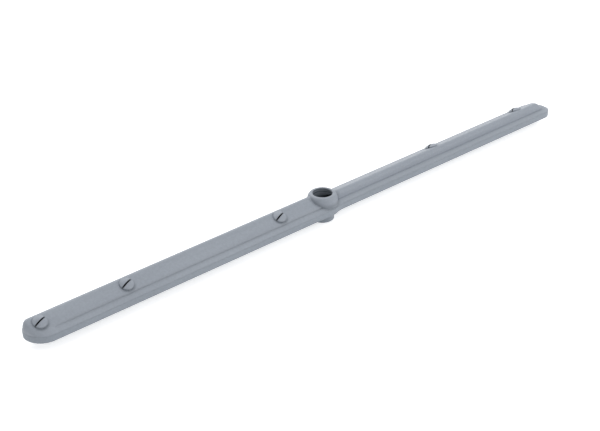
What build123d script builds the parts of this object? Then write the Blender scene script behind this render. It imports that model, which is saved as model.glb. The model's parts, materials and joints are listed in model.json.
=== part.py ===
from build123d import *
import os
from math import cos, radians, sin, sqrt, tan

# Dishwasher spray arm: two moulded half shells, welded along a level seam, on a spindle through the hub.
# The origin is the hub axis at the boss's bottom face, X runs along the arm and Z up the spindle.
# Each arm is the other one turned half a turn, so both nozzle faces lean the same way round.

# Plan
arm_length = 477.0
arm_width = 21.0
arm_offset = 1.1
tip_skew = 2.6
hub_blend = 20.0

# Heights of the section
boss_depth = 6.1
lower_height = 4.7
seam_land = 0.4
bevel_rise = 1.8
ledge_width = 0.5
collar_height = 6.5

# Walls and edges of the two shells
wall = 1.6
lower_draft = 1.5
belly_radius = 1.0

# Locating rib of the upper shell, which drops inside the lower shell's wall
rib_thickness = 0.9
rib_depth = 1.4
rib_clearance = 0.1

# Wedges that carry the nozzles: the long one runs out to the tip, the short one slopes off well before it
wedge_width = 13.4
wedge_step = 0.7
wedge_tilt = 26.0
ridge_radius = 2.8
long_tip_gap = 1.2
short_tip_gap = 6.5
short_tip_slope = 35.0

# Hub
bore_radius = 6.75
bore_chamfer = 0.4
rim_radius = 9.0
rim_edge = 1.0
collar_foot_radius = 11.0
collar_flare = 8.0
collar_blend = 1.5
boss_radius = 8.1
boss_land = 1.4
boss_edge = 0.4
boss_foot_radius = 10.2

# Nozzles: slotted domes, on one arm and the other in turn, further apart towards the hub
nozzle_tip_gap = 9.3
nozzle_pitch = 23.4
nozzle_pitch_growth = 15.75
nozzle_offset = 2.2
nozzle_hub_gap = 2.0
dome_radius = 4.7
dome_height = 2.3
dome_skirt = 0.9
dome_wall = 1.3
dome_root = 2.2
jet_radius = 2.8
jet_depth = 3.2
slit_width = 1.0
slit_floor = 0.4
slit_angle = 20.0

# Levels and places that follow
underside_z = boss_depth
seam_z = underside_z + lower_height
ledge_z = seam_z + seam_land + bevel_rise
rim_z = ledge_z + collar_height
hub_radius = arm_width / 2 + arm_offset
wedge_inset = (arm_width - wedge_width) / 2
bevel_run = wedge_inset - ledge_width
tilt = radians(wedge_tilt)
tip_slope = radians(short_tip_slope)
wedge_low_y = arm_offset + wedge_width / 2
wedge_low_z = ledge_z + wedge_step
ridge_z = wedge_low_z + wedge_width * tan(tilt)
nozzle_z = wedge_low_z + (wedge_low_y - nozzle_offset) * tan(tilt)
face_plane = Plane((0, -wedge_low_y, wedge_low_z), x_dir=(1, 0, 0), z_dir=(0, -sin(tilt), cos(tilt)))


def nozzle_planes():
    """Planes on the nozzle faces, Z out of the face, from the tip of the -X arm inwards."""
    planes = []
    radius = arm_length / 2 - nozzle_tip_gap
    pitch = nozzle_pitch
    side = -1
    while radius > collar_foot_radius + dome_radius + nozzle_hub_gap:
        place = (side * radius, side * nozzle_offset, nozzle_z)
        planes.append(Plane(place, x_dir=(-side, 0, 0), z_dir=(0, side * sin(tilt), cos(tilt))))
        radius -= pitch
        pitch += nozzle_pitch_growth
        side = -side
    return planes


def arm_sides(inset, tip_x, root_x, turn=1):
    """Sides and tip of one arm in the open line, drawn in by an inset.

    The tip has a wide round on the wide side and a tight one on the narrow side.
    """
    wide = hub_radius - inset
    narrow = arm_width / 2 - arm_offset - inset
    wide_round = arm_width / 2 + tip_skew - inset
    narrow_round = arm_width / 2 - tip_skew - inset
    wide_end = (-turn * (tip_x - wide_round), -turn * wide)
    tip = (-turn * tip_x, turn * (wide_round - wide))
    narrow_end = (-turn * (tip_x - narrow_round), turn * narrow)
    Line((0, -turn * wide), wide_end)
    TangentArc(wide_end, tip, tangent=(-turn, 0))
    TangentArc(narrow_end, tip, tangent=(-turn, 0))
    Line(narrow_end, (-turn * root_x, turn * narrow))


def arm_plan(inset, mode=Mode.ADD):
    """Plan of both arms in the open sketch, drawn in by an inset.

    The wide sides run straight into the hub, and the narrow sides meet it in a hollow blend.
    """
    wide = hub_radius - inset
    narrow = arm_width / 2 - arm_offset - inset
    blend = hub_blend + inset
    blend_x = sqrt((wide + blend) ** 2 - (narrow + blend) ** 2)
    share = wide / (wide + blend)
    with BuildLine() as outline:
        for turn in (1, -1):
            touch = (-turn * blend_x * share, turn * (narrow + blend) * share)
            arm_sides(inset, arm_length / 2 - inset, blend_x, turn)
            TangentArc((-turn * blend_x, turn * narrow), touch, tangent=(turn, 0))
            TangentArc((0, turn * wide), touch, tangent=(-turn, 0))
    make_face(outline.edges(), mode=mode)


def wedge_form(tip_gap, inset, slope=0, edge_radius=0):
    """Wedge of the -X arm above the seam, drawn in by an inset.

    It is cut along its nozzle face, and at the tip along a sloping end if it has one.
    """
    plan_inset = wedge_inset + inset
    with BuildPart() as form:
        with BuildSketch(Plane.XY.offset(underside_z)):
            with BuildLine():
                arm_sides(plan_inset, arm_length / 2 - tip_gap - inset, 0)
                Line((0, arm_width / 2 - arm_offset - plan_inset), (0, plan_inset - hub_radius))
            make_face()
        extrude(amount=ridge_z - underside_z)
        split(bisect_by=face_plane.offset(-inset), keep=Keep.BOTTOM)
        if slope:
            end_plane = Plane((tip_gap - arm_length / 2, 0, wedge_low_z), z_dir=(-sin(slope), 0, cos(slope)))
            split(bisect_by=end_plane.offset(-inset), keep=Keep.BOTTOM)
        if edge_radius:
            top_edges = form.faces().filter_by(lambda face: face.normal_at().Z > 0).edges()
            fillet(top_edges.filter_by(lambda edge: edge.center().X < 0), edge_radius)
        split(bisect_by=Plane.XY.offset(seam_z), keep=Keep.TOP)
    return form


# The two wedges with their top edges rounded off, and the hollows under them
long_wedge = wedge_form(long_tip_gap, 0, edge_radius=ridge_radius)
short_wedge = wedge_form(short_tip_gap, 0, tip_slope, ridge_radius)
long_hollow = wedge_form(long_tip_gap, wall)
short_hollow = wedge_form(short_tip_gap, wall, tip_slope)

# Nozzle dome about its own axis, with a root that reaches into the wedge's wall
with BuildPart() as dome:
    with BuildSketch(Plane.XZ):
        with BuildLine():
            Polyline((0, dome_height), (0, -dome_root), (dome_radius, -dome_root), (dome_radius, dome_skirt))
            TangentArc((0, dome_height), (dome_radius, dome_skirt), tangent=(1, 0))
        make_face()
    revolve(axis=Axis.Z)

# Upper shell: wedges and collar blended together, bevelled flange, nozzle domes, and the locating rib below
with BuildPart() as upper_shell:
    add(long_wedge.part)
    add(short_wedge.part, rotation=(0, 0, 180))
    with BuildSketch(Plane.XZ) as collar:
        with BuildLine():
            Polyline((rim_radius, rim_z), (0, rim_z), (0, seam_z), (collar_foot_radius, seam_z))
            RadiusArc((collar_foot_radius, seam_z), (rim_radius, rim_z), collar_flare)
        make_face()
        fillet(collar.vertices().group_by(Axis.Y)[-1].sort_by(Axis.X)[-1], rim_edge)
    revolve(axis=Axis.Z)
    fillet(upper_shell.edges(Select.LAST).filter_by(GeomType.BSPLINE), collar_blend)
    with BuildSketch(Plane.XY.offset(seam_z)):
        arm_plan(0)
    extrude(amount=seam_land)
    with BuildSketch(Plane.XY.offset(seam_z + seam_land)):
        arm_plan(0)
    with BuildSketch(Plane.XY.offset(ledge_z)):
        arm_plan(bevel_run)
    loft(ruled=True)
    with Locations(*nozzle_planes()):
        add(dome.part)
    with BuildSketch(Plane.XY.offset(seam_z)):
        arm_plan(wall + rib_clearance)
        arm_plan(wall + rib_clearance + rib_thickness, mode=Mode.SUBTRACT)
    extrude(amount=-rib_depth)
    add(long_hollow.part, mode=Mode.SUBTRACT)
    add(short_hollow.part, rotation=(0, 0, 180), mode=Mode.SUBTRACT)
    with Locations(*[plane.offset(-jet_depth) for plane in nozzle_planes()]):
        Cylinder(jet_radius, jet_depth + dome_height - dome_wall,
                 align=(Align.CENTER, Align.CENTER, Align.MIN), mode=Mode.SUBTRACT)
    with Locations(*[plane.offset(slit_floor) for plane in nozzle_planes()]):
        Box(2 * (dome_radius + slit_width), slit_width, dome_height, rotation=(0, 0, slit_angle),
            align=(Align.CENTER, Align.CENTER, Align.MIN), mode=Mode.SUBTRACT)
    Cylinder(bore_radius, rim_z, align=(Align.CENTER, Align.CENTER, Align.MIN), mode=Mode.SUBTRACT)
    mouth = upper_shell.edges().filter_by(GeomType.CIRCLE).group_by(Axis.Z)[-1].sort_by(SortBy.RADIUS)[0]
    chamfer(mouth, bore_chamfer)
upper_shell.part.label = "upper_shell"

# Lower shell: trough, and the hub boss that runs out into the underside
with BuildPart() as lower_shell:
    with BuildSketch(Plane.XY.offset(seam_z)):
        arm_plan(0)
    extrude(amount=-lower_height, taper=lower_draft)
    fillet(lower_shell.faces().sort_by(Axis.Z).first.edges(), belly_radius)
    with BuildSketch(Plane.XZ):
        with BuildLine():
            Polyline((boss_foot_radius, underside_z), (0, underside_z), (0, 0), (boss_radius, 0),
                     (boss_radius, boss_land))
            TangentArc((boss_radius, boss_land), (boss_foot_radius, underside_z), tangent=(0, 1))
        make_face()
    revolve(axis=Axis.Z)
    chamfer(lower_shell.faces().sort_by(Axis.Z).first.edges(), boss_edge)
    with BuildSketch(Plane.XY.offset(underside_z + wall)):
        arm_plan(wall)
    extrude(amount=lower_height - wall, mode=Mode.SUBTRACT)
    Cylinder(bore_radius, seam_z, align=(Align.CENTER, Align.CENTER, Align.MIN), mode=Mode.SUBTRACT)
    mouth = lower_shell.edges().filter_by(GeomType.CIRCLE).group_by(Axis.Z)[0].sort_by(SortBy.RADIUS)[0]
    chamfer(mouth, bore_chamfer)
lower_shell.part.label = "lower_shell"

os.makedirs("parts", exist_ok=True)
export_step(upper_shell.part, "parts/upper_shell.step")
export_step(lower_shell.part, "parts/lower_shell.step")
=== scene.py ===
import json
import math

import bpy
import numpy as np
from mathutils import Matrix, Vector


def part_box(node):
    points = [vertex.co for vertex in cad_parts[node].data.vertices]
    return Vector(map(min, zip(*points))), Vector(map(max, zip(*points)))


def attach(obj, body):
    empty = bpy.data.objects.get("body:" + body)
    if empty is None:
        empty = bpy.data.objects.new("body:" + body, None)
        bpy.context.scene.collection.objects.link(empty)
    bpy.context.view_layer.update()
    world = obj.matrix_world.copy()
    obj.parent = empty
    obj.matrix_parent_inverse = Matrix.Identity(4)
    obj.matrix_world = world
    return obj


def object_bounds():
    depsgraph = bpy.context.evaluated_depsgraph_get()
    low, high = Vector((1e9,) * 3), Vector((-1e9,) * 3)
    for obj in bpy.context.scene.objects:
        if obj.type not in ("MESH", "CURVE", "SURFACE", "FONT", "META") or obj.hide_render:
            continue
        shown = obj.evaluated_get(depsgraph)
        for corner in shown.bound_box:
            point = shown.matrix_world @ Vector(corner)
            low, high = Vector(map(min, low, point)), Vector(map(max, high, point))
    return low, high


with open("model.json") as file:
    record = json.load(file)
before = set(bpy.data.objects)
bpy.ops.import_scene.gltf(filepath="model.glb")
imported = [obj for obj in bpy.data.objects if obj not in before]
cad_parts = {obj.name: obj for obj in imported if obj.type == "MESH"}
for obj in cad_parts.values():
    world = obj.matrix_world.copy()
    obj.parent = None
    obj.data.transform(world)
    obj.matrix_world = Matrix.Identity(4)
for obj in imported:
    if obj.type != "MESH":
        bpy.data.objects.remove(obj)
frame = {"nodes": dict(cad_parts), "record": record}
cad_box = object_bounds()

# Upper shell: the nozzle half of the arm, injection moulded in polypropylene, with the wedges and the slotted
# domes in one piece. The moulding tool is finely spark eroded, so the plastic is satin with a faint grain. It
# is welded to the lower shell along the level seam. Its creases, corners and slits are painted darker as
# shade, and a highlight is painted along its bevel.
MM = 0.001
TIP_X = cad_box[1][0]
RIM_Z = cad_box[1][2]
SEAM_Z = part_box("lower_shell")[1][2]
BEVEL_Z = SEAM_Z + 0.4 * MM
LEDGE_Z = BEVEL_Z + 1.8 * MM
BORE_MOUNT = next(mount for mount in frame["record"]["mounts"] if mount["name"] == "hub_bore")
BORE_RADIUS = BORE_MOUNT["dims"]["r_mm"] * MM
FLOW_WIDTH = 6 * MM
FLOW_LENGTH = 60 * MM
SPECK_SIZE = 1.4 * MM
GRAIN_SIZE = 0.9 * MM
GRAIN_DEPTH = 0.05 * MM
STREAK_HEIGHT = 1 * MM
STREAK_LENGTH = 12 * MM
POLYPROPYLENE_IOR = 1.49
# Dark grey of the dirt on the weld line, and of the painted shade in the upper shell's creases, corners and
# round the domes
GREASE_AND_SHADE = "5c636a"
# Darker colour laid in streaks on the bore's wall
BORE_DARKENING = "4a5158"
WELD_STAIN = 0.2


def linear(hex_colour):
    """sRGB hex such as "939ca5" as a linear RGBA colour: each channel goes through the sRGB curve."""
    channels = np.array([int(hex_colour[i:i + 2], 16) for i in (0, 2, 4)]) / 255
    curve = np.where(channels <= 0.04045, channels / 12.92, ((channels + 0.055) / 1.055) ** 2.4)
    return (*curve, 1.0)


def node(owner, kind, settings=None, **links):
    """Adds one node to a material or a world.

    settings are its properties and unlinked sockets, links are sockets fed from other nodes. A MapRange takes
    its value at socket 0, from the range in sockets 1 and 2 to the range in sockets 3 and 4. A Mix takes its
    share at socket 0, and two colours at sockets 6 and 7 or two plain values at sockets 2 and 3.
    """
    added = owner.node_tree.nodes.new("ShaderNode" + kind)
    for name, value in (settings or {}).items():
        if isinstance(name, str) and hasattr(added, name):
            setattr(added, name, value)
        else:
            added.inputs[name].default_value = value
    for name, socket in links.items():
        key = int(name[1:]) if name[0] == "_" else name
        owner.node_tree.links.new(socket, added.inputs[key])
    return added


def lay_stain_or_painted_light(material, colour, *amounts):
    """Lays a colour over the base colour so far, as strong as its amounts multiplied together: a stain, or a
    painted highlight or shade.
    """
    base = material.node_tree.nodes["Principled BSDF"].inputs["Base Color"]
    strength = amounts[0]
    for amount in amounts[1:]:
        strength = node(material, "Math", {"operation": "MULTIPLY"}, _0=strength, _1=amount).outputs[0]
    laid = node(material, "Mix", {"data_type": "RGBA", 7: linear(colour)},
                _0=strength, _6=base.links[0].from_socket)
    material.node_tree.links.new(laid.outputs[2], base)


def moulded_polypropylene(name, face, sheen):
    """Satin moulded polypropylene with slow flow marks, pigment specks and a grain in its gloss.

    face is the colour of the plastic and sheen the paler tint of its flow marks. A weld line runs along the
    seam and the bore's wall is darker in streaks. The patterns follow the Object coordinates.
    """
    material = bpy.data.materials.new(name)
    material.use_nodes = True
    shader = material.node_tree.nodes["Principled BSDF"]
    shader.inputs["IOR"].default_value = POLYPROPYLENE_IOR
    place = node(material, "TexCoord").outputs["Object"]

    # Flow marks: soft streaks along the arm
    stretched = node(material, "Mapping", {"Scale": (FLOW_WIDTH / FLOW_LENGTH, 1.0, 1.0)}, Vector=place)
    flow = node(material, "TexNoise", {"Scale": 1 / FLOW_WIDTH, "Detail": 2.0, "Roughness": 0.5},
                Vector=stretched.outputs["Vector"])
    flow_part = node(material, "MapRange", {1: 0.35, 2: 0.7, 3: 0.0, 4: 0.32}, _0=flow.outputs["Fac"])
    plastic = node(material, "Mix", {"data_type": "RGBA", 6: linear(face), 7: linear(sheen)},
                   _0=flow_part.outputs["Result"])

    # Pigment specks: under 0.3 mm in the real plastic, drawn coarser so that they show in the picture
    specks = node(material, "TexNoise", {"Scale": 1 / SPECK_SIZE, "Detail": 1.0}, Vector=place)
    speck_tone = node(material, "MapRange", {1: 0.3, 2: 0.7, 3: 0.955, 4: 1.045}, _0=specks.outputs["Fac"])
    specked = node(material, "Mix", {"data_type": "RGBA", "blend_type": "MULTIPLY", 0: 1.0},
                   _6=plastic.outputs[2], _7=speck_tone.outputs["Result"])
    material.node_tree.links.new(specked.outputs[2], shader.inputs["Base Color"])

    # Weld line: a soft band of dirt half a millimetre either side of the seam
    axes = node(material, "SeparateXYZ", Vector=place)
    from_seam = node(material, "Math", {"operation": "SUBTRACT", 1: SEAM_Z}, _0=axes.outputs["Z"])
    seam_gap = node(material, "Math", {"operation": "ABSOLUTE"}, _0=from_seam.outputs[0])
    weld = node(material, "MapRange", {1: 0.1 * MM, 2: 0.6 * MM, 3: WELD_STAIN, 4: 0.0},
                _0=seam_gap.outputs[0])
    lay_stain_or_painted_light(material, GREASE_AND_SHADE, weld.outputs["Result"])

    # Bore: darker streaks round the wall, which end where the wall does
    streak_turn = STREAK_HEIGHT / STREAK_LENGTH
    streak_place = node(material, "Mapping", {"Scale": (streak_turn, streak_turn, 1.0)}, Vector=place)
    streaks = node(material, "TexNoise", {"Scale": 1 / STREAK_HEIGHT, "Detail": 2.0},
                   Vector=streak_place.outputs["Vector"])
    streak_part = node(material, "MapRange", {1: 0.35, 2: 0.65, 3: 0.4, 4: 1.0}, _0=streaks.outputs["Fac"])
    flat = node(material, "CombineXYZ", X=axes.outputs["X"], Y=axes.outputs["Y"])
    radius = node(material, "VectorMath", {"operation": "LENGTH"}, _0=flat.outputs["Vector"])
    in_bore = node(material, "MapRange",
                   {1: BORE_RADIUS + 0.1 * MM, 2: BORE_RADIUS + 0.5 * MM, 3: 1.0, 4: 0.0},
                   _0=radius.outputs["Value"])
    lay_stain_or_painted_light(material, BORE_DARKENING, streak_part.outputs["Result"], in_bore.outputs["Result"])

    # Eroded grain: pits of about 0.35 mm on the real moulding, drawn coarser so that they show in the picture
    grain = node(material, "TexNoise", {"Scale": 1 / GRAIN_SIZE, "Detail": 2.0, "Roughness": 0.6},
                 Vector=place)
    gloss = node(material, "MapRange", {1: 0.3, 2: 0.7, 3: 0.46, 4: 0.6}, _0=grain.outputs["Fac"])
    material.node_tree.links.new(gloss.outputs["Result"], shader.inputs["Roughness"])
    bump = node(material, "Bump", {"Strength": 0.25, "Distance": GRAIN_DEPTH}, Height=grain.outputs["Fac"])
    material.node_tree.links.new(bump.outputs["Normal"], shader.inputs["Normal"])
    return material


upper_plastic = moulded_polypropylene("upper_shell_polypropylene", face="959ca6", sheen="a4abb4")

# Both arms are alike when one is turned half a turn, so painted highlight and shade are placed by how far
# towards the low side of the wedge they lie
WEDGE_TILT = math.radians(26)
WEDGE_FALL = math.tan(WEDGE_TILT)
WEDGE_LOW = 7.8 * MM
WEDGE_LOW_Z = LEDGE_Z + 0.7 * MM
WEDGE_RIDGE = -5.6 * MM

upper_place = node(upper_plastic, "TexCoord").outputs["Object"]
upper_axes = node(upper_plastic, "SeparateXYZ", Vector=upper_place)
arm_side = node(upper_plastic, "Math", {"operation": "SIGN"}, _0=upper_axes.outputs["X"])
low = node(upper_plastic, "Math", {"operation": "MULTIPLY"},
           _0=arm_side.outputs[0], _1=upper_axes.outputs["Y"])

# Bevelled edge: a painted highlight between the weld and the ledge, strongest on the ridge's side
BEVEL_HIGHLIGHT = "a9b0b8"
BEVEL_HIGHLIGHT_STRENGTH = 0.45

bevel_foot = node(upper_plastic, "MapRange", {1: BEVEL_Z, 2: BEVEL_Z + 0.5 * MM, 3: 0.0, 4: BEVEL_HIGHLIGHT_STRENGTH},
                  _0=upper_axes.outputs["Z"])
bevel_head = node(upper_plastic, "MapRange", {1: LEDGE_Z - 0.7 * MM, 2: LEDGE_Z - 0.1 * MM, 3: 1.0, 4: 0.0},
                  _0=upper_axes.outputs["Z"])
bevel_side = node(upper_plastic, "MapRange", {1: -WEDGE_LOW, 2: WEDGE_LOW, 3: 1.0, 4: 0.2},
                  _0=low.outputs[0])
lay_stain_or_painted_light(upper_plastic, BEVEL_HIGHLIGHT, bevel_foot.outputs["Result"], bevel_head.outputs["Result"],
      bevel_side.outputs["Result"])

# Gutter along the wedge's low side: a soft line of painted shade in the crease, which dies away before the
# tip
GUTTER_SHADE = 0.22

gutter_place = node(upper_plastic, "CombineXYZ", Y=low.outputs[0], Z=upper_axes.outputs["Z"])
gutter_gap = node(upper_plastic, "VectorMath", {"operation": "DISTANCE", 1: (0, WEDGE_LOW, LEDGE_Z)},
                  _0=gutter_place.outputs["Vector"])
gutter = node(upper_plastic, "MapRange", {"interpolation_type": "SMOOTHSTEP",
                                          1: 0.2 * MM, 2: 1.9 * MM, 3: GUTTER_SHADE, 4: 0.0},
              _0=gutter_gap.outputs["Value"])
out = node(upper_plastic, "Math", {"operation": "ABSOLUTE"}, _0=upper_axes.outputs["X"])
before_tip = node(upper_plastic, "MapRange", {1: TIP_X - 26 * MM, 2: TIP_X - 14 * MM, 3: 1.0, 4: 0.0},
                  _0=out.outputs[0])
lay_stain_or_painted_light(upper_plastic, GREASE_AND_SHADE, gutter.outputs["Result"], before_tip.outputs["Result"])

# Collar's foot: painted shade in the corner between the collar's wall and the face that it stands on, wedge
# or ledge
COLLAR_RADIUS = 10.7 * MM
FOOT_SHADE = 0.36

upper_flat = node(upper_plastic, "CombineXYZ", X=upper_axes.outputs["X"], Y=upper_axes.outputs["Y"])
upper_radius = node(upper_plastic, "VectorMath", {"operation": "LENGTH"}, _0=upper_flat.outputs["Vector"])
wedge_z = node(upper_plastic, "MapRange",
               {1: WEDGE_RIDGE, 2: WEDGE_LOW + (WEDGE_LOW_Z - LEDGE_Z) / WEDGE_FALL,
                3: WEDGE_LOW_Z + (WEDGE_LOW - WEDGE_RIDGE) * WEDGE_FALL, 4: LEDGE_Z},
               _0=low.outputs[0])
on_wedge = node(upper_plastic, "MapRange", {1: WEDGE_RIDGE - 1.5 * MM, 2: WEDGE_RIDGE + 1.0 * MM},
                _0=low.outputs[0])
stood_on = node(upper_plastic, "Mix", {"data_type": "FLOAT", 2: LEDGE_Z},
                _0=on_wedge.outputs["Result"], _3=wedge_z.outputs["Result"])
above = node(upper_plastic, "Math", {"operation": "SUBTRACT"},
             _0=upper_axes.outputs["Z"], _1=stood_on.outputs[0])
up_wall = node(upper_plastic, "MapRange", {"interpolation_type": "SMOOTHSTEP",
                                           1: 0.0, 2: 3.0 * MM, 3: FOOT_SHADE, 4: 0.0},
               _0=above.outputs[0])
round_foot = node(upper_plastic, "MapRange", {"interpolation_type": "SMOOTHSTEP",
                                              1: COLLAR_RADIUS, 2: COLLAR_RADIUS + 2.4 * MM, 3: 1.0, 4: 0.0},
                  _0=upper_radius.outputs["Value"])
under_rim = node(upper_plastic, "MapRange", {"interpolation_type": "SMOOTHSTEP",
                                             1: RIM_Z - 2.5 * MM, 2: RIM_Z, 3: 1.0, 4: 0.0},
                 _0=upper_axes.outputs["Z"])
lay_stain_or_painted_light(upper_plastic, GREASE_AND_SHADE, up_wall.outputs["Result"], round_foot.outputs["Result"],
      under_rim.outputs["Result"])

# Nozzles: a crescent of painted shadow under the low side of each dome, and painted shade in its slit
NOZZLE_COUNT = 5
NOZZLE_TIP_GAP = 9.3 * MM
NOZZLE_PITCH = 23.4 * MM
NOZZLE_PITCH_GROWTH = 15.75 * MM
NOZZLE_LOW = 2.2 * MM
DOME_RADIUS = 4.7 * MM
CRESCENT_SHADOWS = (0.05, 0.55)
SLIT_HALF = 0.5 * MM
SLIT_TURN = math.radians(20)
SLIT_SHADE_STRENGTH = 0.8
SLIT_SHADE_COLOUR = "2b3036"

for count in range(NOZZLE_COUNT):
    side = 1 if count % 2 else -1
    inward = NOZZLE_TIP_GAP + NOZZLE_PITCH * count + NOZZLE_PITCH_GROWTH * count * (count - 1) / 2
    nozzle = (side * (TIP_X - inward), side * NOZZLE_LOW, WEDGE_LOW_Z + (WEDGE_LOW - NOZZLE_LOW) * WEDGE_FALL)
    from_nozzle = node(upper_plastic, "VectorMath", {"operation": "SUBTRACT", 1: nozzle}, _0=upper_place)
    span = node(upper_plastic, "VectorMath", {"operation": "LENGTH"}, _0=from_nozzle.outputs["Vector"])
    # Crescent: painted shadow on the face just past the dome, darkest on its downhill side
    downhill = node(upper_plastic, "VectorMath", {"operation": "DOT_PRODUCT", 1: (0, side, 0)},
                    _0=from_nozzle.outputs["Vector"])
    crescent = node(upper_plastic, "MapRange",
                    {1: -1.0 * MM, 2: DOME_RADIUS, 3: CRESCENT_SHADOWS[0], 4: CRESCENT_SHADOWS[1]},
                    _0=downhill.outputs["Value"])
    past_dome = node(upper_plastic, "MapRange", {1: DOME_RADIUS - 0.5 * MM, 2: DOME_RADIUS, 3: 0.0, 4: 1.0},
                     _0=span.outputs["Value"])
    fading = node(upper_plastic, "MapRange",
                  {"interpolation_type": "SMOOTHSTEP",
                   1: DOME_RADIUS + 0.2 * MM, 2: DOME_RADIUS + 2.0 * MM, 3: 1.0, 4: 0.0},
                  _0=span.outputs["Value"])
    lay_stain_or_painted_light(upper_plastic, GREASE_AND_SHADE, crescent.outputs["Result"], past_dome.outputs["Result"],
          fading.outputs["Result"])

    # Slit: painted shade on its walls where it cuts through the dome
    slit_across = (side * math.sin(SLIT_TURN), -side * math.cos(SLIT_TURN) * math.cos(WEDGE_TILT),
                   math.cos(SLIT_TURN) * math.sin(WEDGE_TILT))
    from_slit = node(upper_plastic, "VectorMath", {"operation": "DOT_PRODUCT", 1: slit_across},
                     _0=from_nozzle.outputs["Vector"])
    slit_gap = node(upper_plastic, "Math", {"operation": "ABSOLUTE"}, _0=from_slit.outputs["Value"])
    in_slit = node(upper_plastic, "MapRange",
                   {1: SLIT_HALF + 0.02 * MM, 2: SLIT_HALF + 0.12 * MM, 3: SLIT_SHADE_STRENGTH, 4: 0.0},
                   _0=slit_gap.outputs[0])
    on_dome = node(upper_plastic, "MapRange",
                   {1: DOME_RADIUS - 0.3 * MM, 2: DOME_RADIUS + 0.3 * MM, 3: 1.0, 4: 0.0},
                   _0=span.outputs["Value"])
    lay_stain_or_painted_light(upper_plastic, SLIT_SHADE_COLOUR, in_slit.outputs["Result"], on_dome.outputs["Result"])

for slot in frame["nodes"]["upper_shell"].material_slots:
    slot.material = upper_plastic

# Hub collar: the thick lip round the bore, polypropylene moulded in one with the upper shell. Its outside is
# a deep bowl, narrow at the rim and upright where it stands on the wedges and the flange.
RIDGE_TOP_Z = 18.55 * MM
LIP_RUN = 2.7 * MM
LIP_FALL = 5.5 * MM
LIP_TUCK = 0.03 * MM
SINK = 1.1 * MM
FLANGE_HALF = 8.0 * MM


def grid_piece(name, points, faces, material):
    """Smooth mesh piece from rows of points and four-cornered faces, riding on the arm's one body."""
    mesh = bpy.data.meshes.new(name)
    mesh.from_pydata(points.reshape(-1, 3).tolist(), [], faces.reshape(-1, 4).tolist())
    mesh.polygons.foreach_set("use_smooth", [True] * len(mesh.polygons))
    mesh.materials.append(material)
    piece = bpy.data.objects.new(name, mesh)
    bpy.context.collection.objects.link(piece)
    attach(piece, "root")


def collar_bowl(around, down):
    """Grid round the hub axis: columns that fall from the rim, closer together at the top, to their own feet.

    The top is tucked just under the flat rim. The radius is the collar's, less what a quarter of an ellipse
    takes off over its top. A foot lies a little under the wedge's sloping face, or under the ledge, or at the
    bevel's foot where the flange is widest.
    """
    top = RIM_Z - LIP_TUCK
    turn = np.linspace(0, 2 * math.pi, around, endpoint=False)
    sideways = COLLAR_RADIUS * np.sin(turn)
    towards_low = np.where(np.cos(turn) < 0, -sideways, sideways)
    face = np.minimum(WEDGE_LOW_Z + (WEDGE_LOW - towards_low) * WEDGE_FALL, RIDGE_TOP_Z)
    foot = np.where(towards_low > WEDGE_RIDGE + SINK, np.maximum(face, LEDGE_Z), LEDGE_Z) - SINK
    foot = np.where(np.abs(sideways) > FLANGE_HALF, BEVEL_Z, foot)
    z = top - (top - foot) * np.linspace(0, 1, down)[:, None] ** 2
    over_wall = np.clip((z - top) / LIP_FALL + 1, 0, 1)
    radius = COLLAR_RADIUS - LIP_RUN * (1 - np.sqrt(1 - over_wall ** 2))
    row = np.arange(down - 1)[:, None] * around
    column = np.arange(around)
    beside = (column + 1) % around
    faces = np.stack([row + column, row + around + column, row + around + beside, row + beside], axis=2)
    return np.stack([radius * np.cos(turn), radius * np.sin(turn), z], axis=2), faces


grid_piece("hub_collar", *collar_bowl(around=128, down=24), upper_plastic)

# Nose of the long arm: the full round at the tip, polypropylene moulded in one with the upper shell. The
# nozzle face runs over the ledge there and rolls down to the edge. The nose fades into the gutter on the low
# side and draws in to the wedge on the other.
NOSE_REACH = 17.4 * MM
NOSE_FULLNESS = 2.5
NOSE_SINK = 3.0 * MM
NOSE_OVER = 0.05 * MM
NOSE_DIP = 0.1 * MM
ROUND_Y = 1.5 * MM
BEVEL_RUN = 3.3 * MM
WEDGE_GAP = 1.2 * MM
# Radii of the tip's wide and narrow rounds, at the shell's edge and at the wedge's
EDGE_ROUNDS = (13.1 * MM, 7.9 * MM)
WEDGE_ROUNDS = (9.3 * MM, 4.1 * MM)
# How far in from those edges the nose starts, runs round the wide side, and ends
EDGE_INSETS = (0.4 * MM, 0.1 * MM, 4.1 * MM)
WEDGE_INSETS = (1.75 * MM, 2.8 * MM, 4.1 * MM)


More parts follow.
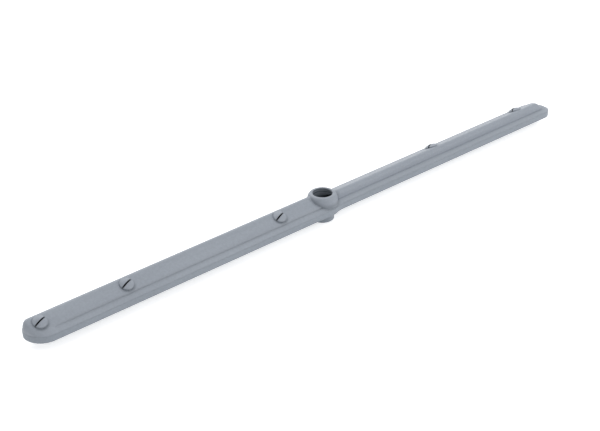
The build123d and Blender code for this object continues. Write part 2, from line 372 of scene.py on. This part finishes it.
def tip_nose(along, up):
    """Grid from the shell's edge, round the tip, up to the nozzle face.

    The edge runs straight for the nose's reach, then round the wide and the narrow arc of the tip, where it
    draws in. From each of its points a column runs in to a point on the wedge, and its height is a fuller
    quarter round that ends just under the face. Where the nose fades out, it sinks under the shell.
    """
    run = np.linspace(0, 3, 3 * along + 1)
    straight = np.clip(1 - run, 0, 1)
    last = np.clip(run - 2, 0, 1)
    turn = np.clip(run - 1, 0, 2) * math.pi / 2
    outward = np.stack([-np.sin(turn), -np.cos(turn)], axis=1)
    shown = 1 - straight * straight * (3 - 2 * straight)
    sunk = (1 - shown) * NOSE_SINK

    start, fair, close = EDGE_INSETS
    edge_round = np.where(run < 2, *EDGE_ROUNDS)
    edge_inset = start + (fair - start) * shown + (close - fair) * last ** 2
    wedge_round = np.where(run < 2, *WEDGE_ROUNDS)
    wedge_inset = np.interp(run, (1, 2, 3), WEDGE_INSETS)
    middle = np.full_like(run, ROUND_Y)
    edge_centre = np.stack([edge_round - TIP_X + straight * NOSE_REACH, middle], axis=1)
    wedge_centre = np.stack([wedge_round + WEDGE_GAP - TIP_X + straight * NOSE_REACH, middle], axis=1)
    edge = edge_centre + (edge_round - edge_inset)[:, None] * outward
    end = wedge_centre + (wedge_round - wedge_inset)[:, None] * outward

    part = np.linspace(0, 1, up)[:, None] ** 2
    plan = edge + (end - edge) * part[:, :, None]
    full = (1 - (1 - part) ** NOSE_FULLNESS) ** (1 / NOSE_FULLNESS)
    up_bevel = np.clip((edge_inset - fair) / BEVEL_RUN, 0, 1)
    edge_z = BEVEL_Z + (LEDGE_Z - BEVEL_Z) * up_bevel - sunk
    face = np.minimum(WEDGE_LOW_Z + (WEDGE_LOW + plan[:, :, 1]) * WEDGE_FALL, RIDGE_TOP_Z + NOSE_OVER)
    z = edge_z + (face - sunk - edge_z) * full - NOSE_DIP * part ** 4

    row = np.arange(up - 1)[:, None] * len(run)
    column = np.arange(len(run) - 1)
    first = row + column
    above_first = first + len(run)
    faces = np.stack([first, above_first, above_first + 1, first + 1], axis=2)
    return np.concatenate([plan, z[:, :, None]], axis=2), faces


grid_piece("long_arm_nose", *tip_nose(along=28, up=20), upper_plastic)

# Lower shell: the trough that closes the arm from below, the same polypropylene from its own tool, welded on
# along the seam. Its outside is a shade deeper, and the boss under the hub carries the lower half of the
# bearing.
lower_plastic = moulded_polypropylene("lower_shell_polypropylene", face="9098a2", sheen="9da5ae")
for slot in frame["nodes"]["lower_shell"].material_slots:
    slot.material = lower_plastic

# Floor and backdrop: a matt white studio sheet that rises behind the arm in one sweep. It is only the
# setting, and it looks a little whiter than the light on it would make it.
FLOOR_HALF = 1.6
SWEEP_RADIUS = 0.5
SWEEP_HEIGHT = 0.9
SWEEP_TURN = math.radians(-43)
FLOOR_LIFT = 0.55


def studio_sweep(across, along):
    """Sheet over across by along points: flat, then a quarter turn of the sweep radius, then straight up."""
    side = np.linspace(-FLOOR_HALF, FLOOR_HALF, across)
    arc = SWEEP_RADIUS * math.pi / 2
    run = np.linspace(-FLOOR_HALF, FLOOR_HALF + arc + SWEEP_HEIGHT, along)
    turn = np.clip((run - FLOOR_HALF) / SWEEP_RADIUS, 0, math.pi / 2)
    depth = np.minimum(run, FLOOR_HALF) + SWEEP_RADIUS * np.sin(turn)
    height = SWEEP_RADIUS * (1 - np.cos(turn)) + np.clip(run - FLOOR_HALF - arc, 0, None)
    points = np.stack([np.tile(side, along), np.repeat(depth, across), np.repeat(height, across)], axis=1)
    first = (np.arange(along - 1)[:, None] * across + np.arange(across - 1)).ravel()
    faces = np.stack([first, first + 1, first + across + 1, first + across], axis=1)
    return points @ np.array(Matrix.Rotation(SWEEP_TURN, 3, "Z")).T, faces


def looked_at(owner):
    """1 on rays that look at a surface, straight or by gloss or glass, and 0 on rays that only light."""
    ray = node(owner, "LightPath")
    seen = node(owner, "Math", {"operation": "MAXIMUM"},
                _0=ray.outputs["Is Camera Ray"], _1=ray.outputs["Is Glossy Ray"])
    seen_too = node(owner, "Math", {"operation": "MAXIMUM"},
                    _0=seen.outputs[0], _1=ray.outputs["Is Transmission Ray"])
    return seen_too.outputs[0]


sheet = bpy.data.materials.new("matt_white_sheet")
sheet.use_nodes = True
sheet_shader = sheet.node_tree.nodes["Principled BSDF"]
sheet_shader.inputs["Base Color"].default_value = linear("f6f6f6")
sheet_shader.inputs["Roughness"].default_value = 0.9
sheet_shader.inputs["Emission Color"].default_value = linear("ffffff")
lift = node(sheet, "Math", {"operation": "MULTIPLY", 1: FLOOR_LIFT}, _0=looked_at(sheet))
sheet.node_tree.links.new(lift.outputs[0], sheet_shader.inputs["Emission Strength"])

sweep_points, sweep_faces = studio_sweep(across=3, along=60)
sweep_mesh = bpy.data.meshes.new("studio_floor")
sweep_mesh.from_pydata(sweep_points.tolist(), [], sweep_faces.tolist())
sweep_mesh.polygons.foreach_set("use_smooth", [True] * len(sweep_mesh.polygons))
sweep_mesh.materials.append(sheet)
studio_floor = bpy.data.objects.new("studio_floor", sweep_mesh)
bpy.context.collection.objects.link(studio_floor)

# Light: a white room, with a large soft panel behind the arm and a weaker one in front of it, as for a
# catalogue cut-out. The room's walls look white, and light the arm a little less than that.
ROOM_LIGHT = 0.6

world = bpy.data.worlds.new("white_room")
world.use_nodes = True
walls = world.node_tree.nodes["Background"]
walls.inputs["Color"].default_value = linear("ffffff")
wall_light = node(world, "MapRange", {3: ROOM_LIGHT, 4: 1.0}, _0=looked_at(world))
world.node_tree.links.new(wall_light.outputs["Result"], walls.inputs["Strength"])
bpy.context.scene.world = world


def soft_panel(name, place, width, height, watts):
    """Rectangular lamp of width by height metres at a place, facing the origin."""
    lamp = bpy.data.lights.new(name, "AREA")
    lamp.shape = "RECTANGLE"
    lamp.size = width
    lamp.size_y = height
    lamp.energy = watts
    panel = bpy.data.objects.new(name, lamp)
    bpy.context.collection.objects.link(panel)
    panel.location = place
    panel.rotation_euler = (-Vector(place)).to_track_quat("-Z", "Y").to_euler()


soft_panel("back_panel", place=(0.2, 1.05, 0.95), width=1.6, height=1.2, watts=9.5)
soft_panel("front_panel", place=(0.55, -1.0, 0.85), width=0.9, height=0.7, watts=5.5)

# Camera: the photograph's view, from in front of the nearer arm and above it. The hub stands a little off the
# centre of the frame, so the camera is turned slightly away from it.
IMAGE_WIDTH = 600
IMAGE_HEIGHT = 431
FOCAL_PIXELS = 1374.6
AIM_PIXEL = (322.43, 209.24)
AIM = Vector((0, 0, 6.5 * MM))
VIEW_AZIMUTH = math.radians(-42.97)
VIEW_ELEVATION = math.radians(28.5)
VIEW_DISTANCE = 0.9494

right = Vector((math.cos(VIEW_AZIMUTH), math.sin(VIEW_AZIMUTH), 0))
back = Vector((math.sin(VIEW_AZIMUTH) * math.cos(VIEW_ELEVATION),
               -math.cos(VIEW_AZIMUTH) * math.cos(VIEW_ELEVATION), math.sin(VIEW_ELEVATION)))
level = Matrix((right, back.cross(right), back)).transposed()
pan = math.atan((AIM_PIXEL[0] - IMAGE_WIDTH / 2) / FOCAL_PIXELS)
drop = math.atan((AIM_PIXEL[1] - IMAGE_HEIGHT / 2) / FOCAL_PIXELS)
turned = level @ Matrix.Rotation(drop, 3, "X") @ Matrix.Rotation(pan, 3, "Y")

camera_data = bpy.data.cameras.new("photo_camera")
camera_data.sensor_fit = "HORIZONTAL"
camera_data.lens = FOCAL_PIXELS / IMAGE_WIDTH * camera_data.sensor_width
camera = bpy.data.objects.new("photo_camera", camera_data)
bpy.context.collection.objects.link(camera)
camera.matrix_world = Matrix.Translation(AIM + VIEW_DISTANCE * back) @ turned.to_4x4()
bpy.context.scene.camera = camera

bpy.context.scene.view_settings.view_transform = "Standard"
